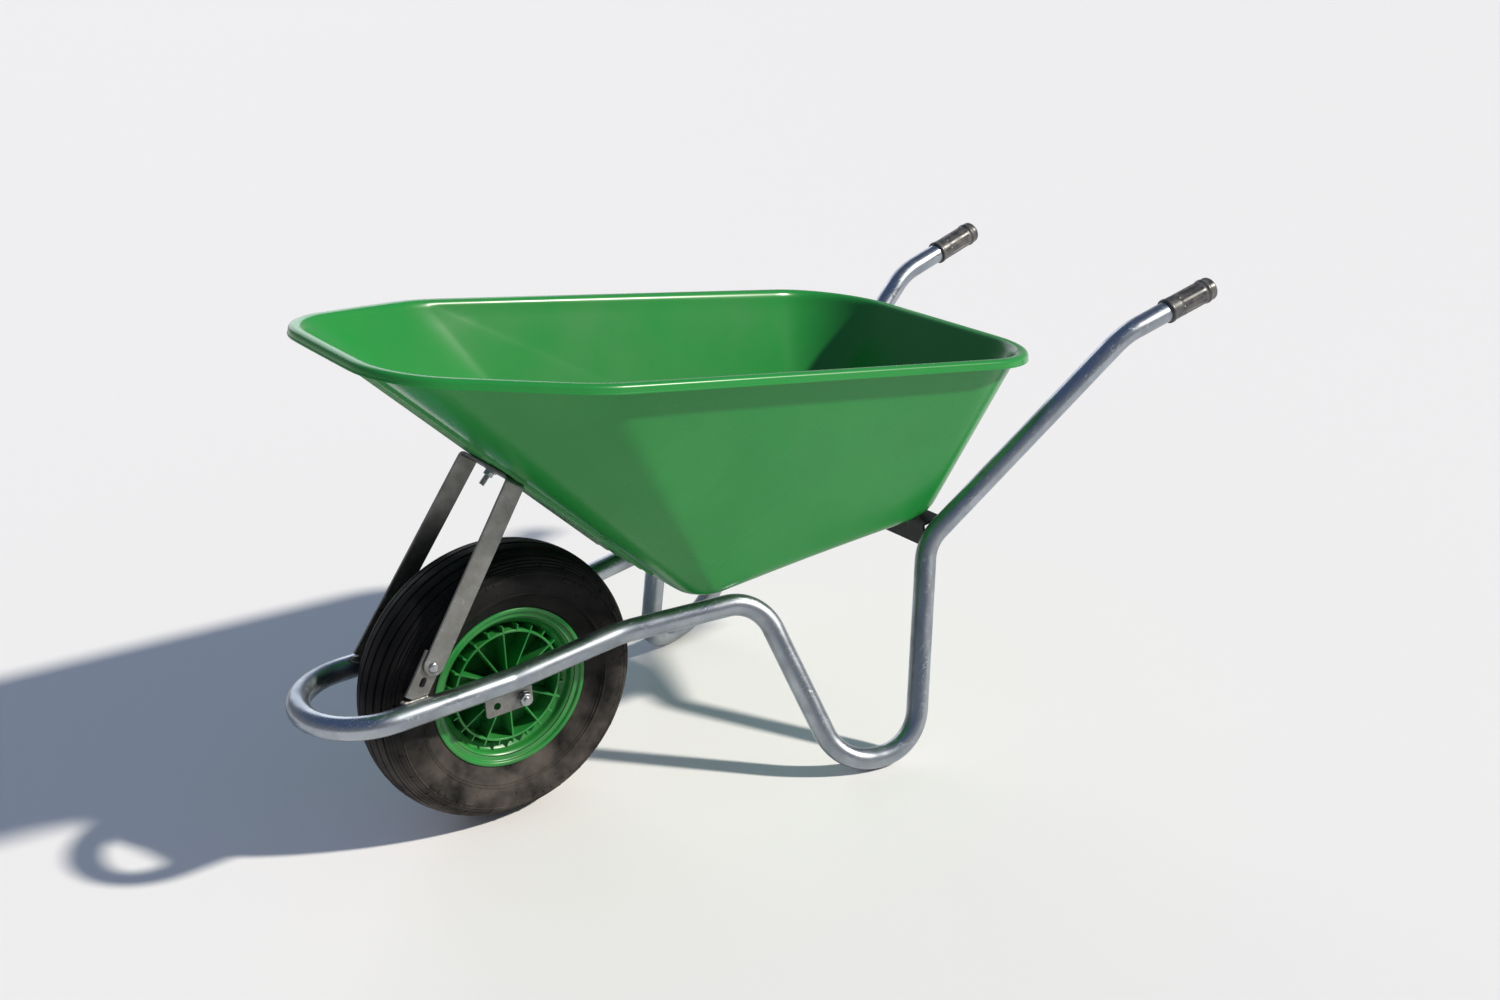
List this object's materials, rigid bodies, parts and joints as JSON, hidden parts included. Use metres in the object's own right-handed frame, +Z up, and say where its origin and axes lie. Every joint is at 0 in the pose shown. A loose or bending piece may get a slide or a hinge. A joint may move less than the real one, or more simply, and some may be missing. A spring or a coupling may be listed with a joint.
{
  "type": "wheelbarrow",
  "caption": "Single-wheel wheelbarrow: a deep moulded tray on one bent tube that forms the nose loop, legs and handles, with a pneumatic wheel under the tray's front.",
  "frame": {"origin": "on the ground, under the middle of the bounding box", "axes": "+X along the barrow, from the wheel to the handles; +Y to the side where the axle bolt's head is; +Z up"},
  "size_m": [1.4454, 0.5742, 0.7188],
  "materials": {
    "galvanised_steel": "galvanised, satin",
    "zinc_plated_steel": "zinc plated",
    "tray_plastic": "moulded, satin",
    "brace_paint": "dark grey paint",
    "grip_plastic": "moulded, satin",
    "tyre_rubber": "moulded rubber, lightly dusty",
    "tube_rubber": "matt",
    "rim_plastic": "moulded",
    "bush_nylon": "moulded",
    "valve_rubber": "matt",
    "cap_plastic": "moulded"
  },
  "bodies": {
    "frame": {"frame_tube": "galvanised_steel", "front_stay": "galvanised_steel", "stay_lug_left": "galvanised_steel", "stay_lug_right": "galvanised_steel", "stay_bolts": "zinc_plated_steel", "stay_nuts": "zinc_plated_steel", "axle_bracket_left": "galvanised_steel", "axle_bracket_right": "galvanised_steel", "axle_bolt": "zinc_plated_steel", "axle_nut": "zinc_plated_steel", "axle_washers": "zinc_plated_steel", "axle_spacer_left": "zinc_plated_steel", "axle_spacer_right": "zinc_plated_steel", "tray": "tray_plastic", "rear_brace": "brace_paint", "rear_tray_bolts": "zinc_plated_steel", "rear_tray_washers": "zinc_plated_steel", "rear_tray_nuts": "zinc_plated_steel", "front_tray_bolt": "zinc_plated_steel", "front_tray_washer": "zinc_plated_steel", "front_tray_nut": "zinc_plated_steel", "grip_left": "grip_plastic", "grip_right": "grip_plastic"},
    "wheel": {"tyre": "tyre_rubber", "inner_tube": "tube_rubber", "rim": "rim_plastic", "hub_bush_left": "bush_nylon", "hub_bush_right": "bush_nylon", "valve_stem": "valve_rubber", "valve_cap": "cap_plastic"}
  },
  "joints": [
    {"name": "wheel_spin", "type": "hinge", "parent": "frame", "child": "wheel", "pos_m": [-0.42892, 0, 0.2], "axis": [0, 1, 0], "continuous": true}
  ]
}
